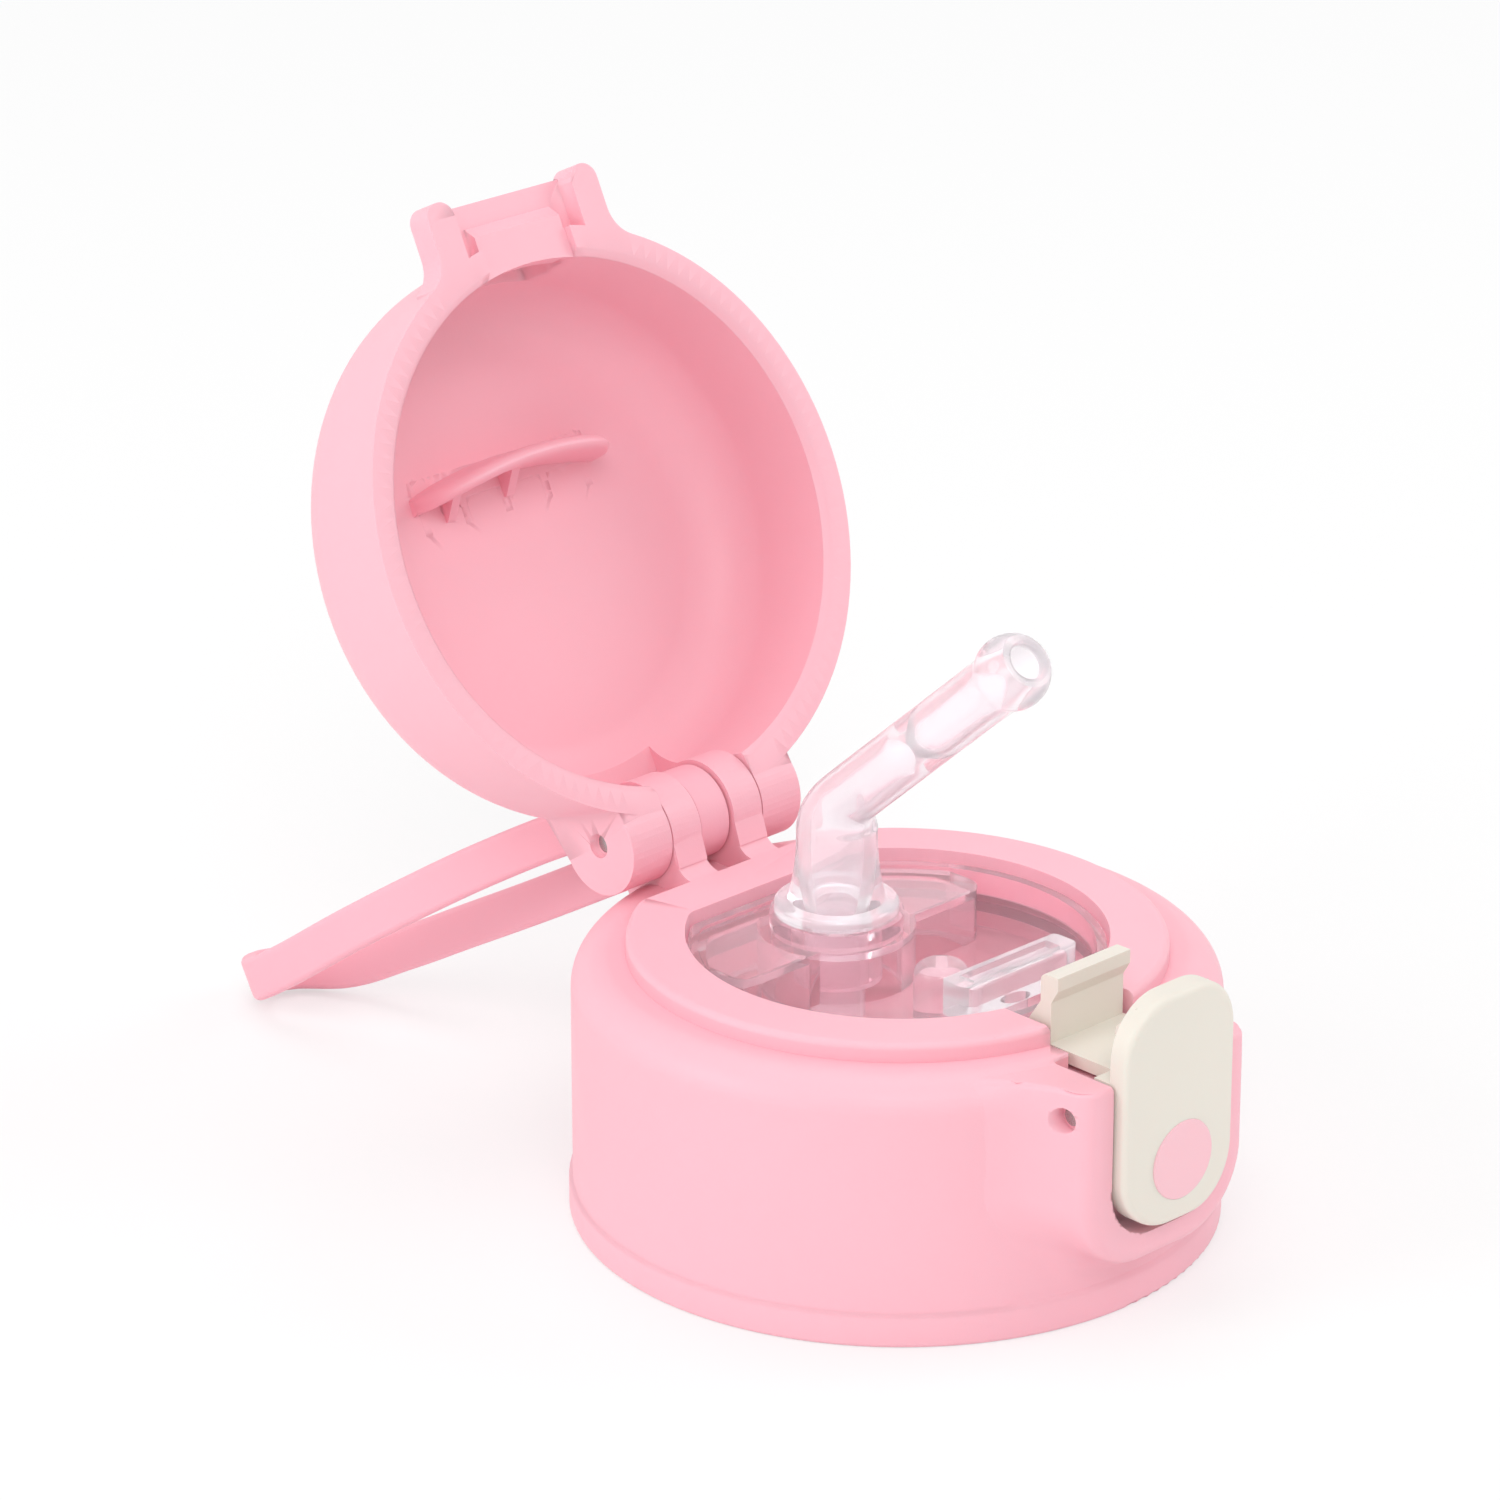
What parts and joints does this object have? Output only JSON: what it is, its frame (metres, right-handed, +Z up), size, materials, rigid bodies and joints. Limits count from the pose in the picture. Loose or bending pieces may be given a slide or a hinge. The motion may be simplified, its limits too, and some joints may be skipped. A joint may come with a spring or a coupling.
{
  "type": "straw bottle cap",
  "caption": "Screw-on bottle cap with a hinged domed lid, bent silicone straw, press latch and carry loop.",
  "frame": {"origin": "centre of the cap's base", "axes": "+Z up along the skirt's axis, -Y towards the latch, +Y towards the hinge"},
  "size_m": [0.0708, 0.1336, 0.1019],
  "materials": {
    "pink_plastic": "matte",
    "offwhite_plastic": "satin",
    "clear_plastic": "clear gloss",
    "clear_silicone": "clear satin",
    "white_silicone": "satin",
    "steel": "bright",
    "pink_elastomer": "matte"
  },
  "bodies": {
    "cap": {"cap_body": "pink_plastic", "clear_insert": "clear_plastic", "vent_valve": "clear_silicone", "straw_spout": "clear_silicone", "hinge_pin": "steel", "latch_pin": "steel", "latch_spring": "steel", "bottle_gasket": "white_silicone"},
    "lid": {"lid": "pink_plastic"},
    "loop": {"carry_loop": "pink_elastomer"},
    "latch": {"latch": "offwhite_plastic", "latch_dot": "pink_plastic"}
  },
  "joints": [
    {"name": "lid_hinge", "type": "hinge", "parent": "cap", "child": "lid", "pos_m": [0, 0.0332, 0.0353], "axis": [1, 0, 0], "range_deg": [0, 116.5], "deforming": ["straw_spout"]},
    {"name": "loop_hinge", "type": "hinge", "parent": "cap", "child": "loop", "pos_m": [0, 0.0332, 0.0353], "axis": [1, 0, 0], "range_deg": [-10, 0.5]},
    {"name": "latch_press", "type": "hinge", "parent": "cap", "child": "latch", "pos_m": [0, -0.0365, 0.026], "axis": [1, 0, 0], "range_deg": [0, 9], "stiffness_Nm_per_rad": 0.15, "springref_deg": -5.73, "deforming": ["latch_spring"]}
  ]
}
